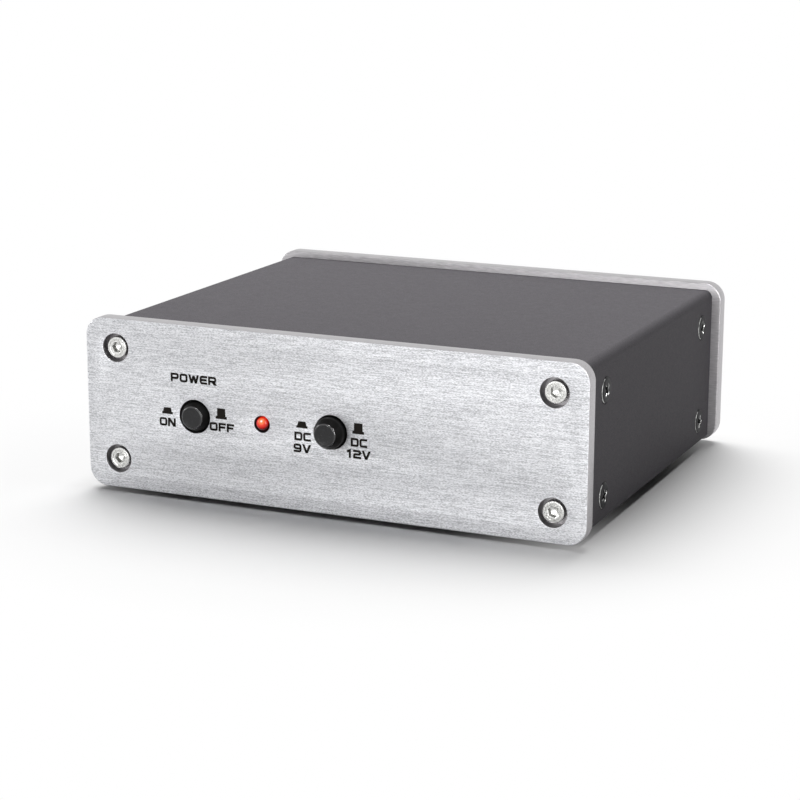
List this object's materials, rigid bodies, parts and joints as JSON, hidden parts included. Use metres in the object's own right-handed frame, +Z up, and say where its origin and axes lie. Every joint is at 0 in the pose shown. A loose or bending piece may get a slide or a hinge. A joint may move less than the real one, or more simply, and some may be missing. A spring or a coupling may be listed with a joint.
{
  "type": "phono preamp",
  "caption": "Small desk-top phono preamplifier: dark metal case between thick brushed end plates, power and supply push buttons with a red lamp in front, phono sockets behind.",
  "frame": {"origin": "on the surface the feet stand on, under the middle of the whole object's box", "axes": "+X to the right seen from the front, +Y to the rear (the buttons face -Y, the sockets +Y), +Z up"},
  "size_m": [0.11, 0.1046, 0.0368],
  "materials": {
    "end_plates": "brushed along its length, clear anodised",
    "case_sheets": "fine satin dark grey paint",
    "rails": "plain extruded",
    "bright_screws": "bright zinc plated",
    "dark_screws": "blackened, slightly worn",
    "feet": "matt",
    "buttons": "glossy black",
    "switch_plastic": "moulded, matt",
    "lamp_plastic": "clear red epoxy",
    "tinned_leads": "tinned",
    "board": "green solder mask",
    "socket_plastic": "moulded black",
    "white_socket_plastic": "moulded white, left channel",
    "red_socket_plastic": "moulded red, right channel",
    "plated_contacts": "thin gold plate",
    "capacitor_cans": "dark blue sleeve",
    "film_boxes": "red-brown moulded box",
    "resistor_coating": "blue lacquer"
  },
  "bodies": {
    "chassis": {"front_plate": "end_plates", "rear_plate": "end_plates", "case_cover": "case_sheets", "base_plate": "case_sheets", "lower_left_rail": "rails", "lower_right_rail": "rails", "upper_left_rail": "rails", "upper_right_rail": "rails", "front_plate_screws": "bright_screws", "rear_plate_screws": "bright_screws", "left_cover_screws": "dark_screws", "right_cover_screws": "dark_screws", "base_screws": "dark_screws", "board_screws": "bright_screws", "front_left_foot": "feet", "front_right_foot": "feet", "rear_left_foot": "feet", "rear_right_foot": "feet", "circuit_board": "board", "power_switch_housing": "switch_plastic", "voltage_switch_housing": "switch_plastic", "switch_pins": "tinned_leads", "lamp_lens": "lamp_plastic", "lamp_leads": "tinned_leads", "input_left_jack_body": "white_socket_plastic", "input_right_jack_body": "red_socket_plastic", "output_left_jack_body": "white_socket_plastic", "output_right_jack_body": "red_socket_plastic", "input_left_jack_sleeve": "plated_contacts", "input_right_jack_sleeve": "plated_contacts", "output_left_jack_sleeve": "plated_contacts", "output_right_jack_sleeve": "plated_contacts", "jack_contacts": "plated_contacts", "jack_board_pins": "tinned_leads", "power_inlet_body": "socket_plastic", "power_inlet_pin": "tinned_leads", "power_inlet_tabs": "tinned_leads", "ground_stud": "plated_contacts", "ground_shoulder": "plated_contacts", "ground_tag": "tinned_leads", "ground_nut": "bright_screws", "amplifier_sockets": "socket_plastic", "amplifier_chips": "socket_plastic", "reservoir_capacitors": "capacitor_cans", "coupling_capacitors": "capacitor_cans", "film_capacitors": "film_boxes", "resistors": "resistor_coating", "voltage_regulator": "socket_plastic", "regulator_tab": "tinned_leads"},
    "power_push": {"power_button": "buttons", "power_switch_slider": "switch_plastic"},
    "voltage_push": {"voltage_button": "buttons", "voltage_switch_slider": "switch_plastic"},
    "terminal_washer": {"ground_washer": "bright_screws"},
    "terminal_knob": {"ground_knob": "plated_contacts"}
  },
  "joints": [
    {"name": "power_press", "type": "slide", "parent": "chassis", "child": "power_push", "axis": [0, -1, 0], "range_m": [-0.0008, 0.0017]},
    {"name": "voltage_press", "type": "slide", "parent": "chassis", "child": "voltage_push", "axis": [0, 1, 0], "range_m": [0, 0.0025], "stiffness_N_per_m": 400},
    {"name": "knob_advance", "type": "slide", "parent": "chassis", "child": "terminal_washer", "axis": [0, 1, 0], "range_m": [0, 0.0021]},
    {"name": "knob_turn", "type": "hinge", "parent": "terminal_washer", "child": "terminal_knob", "pos_m": [0.0386, 0.04775, 0.0193], "axis": [0, 1, 0], "range_deg": [0, 1080]}
  ],
  "couplings": [
    {"joint": "knob_turn", "follows": "knob_advance", "rad_per_m": 8975.9}
  ]
}
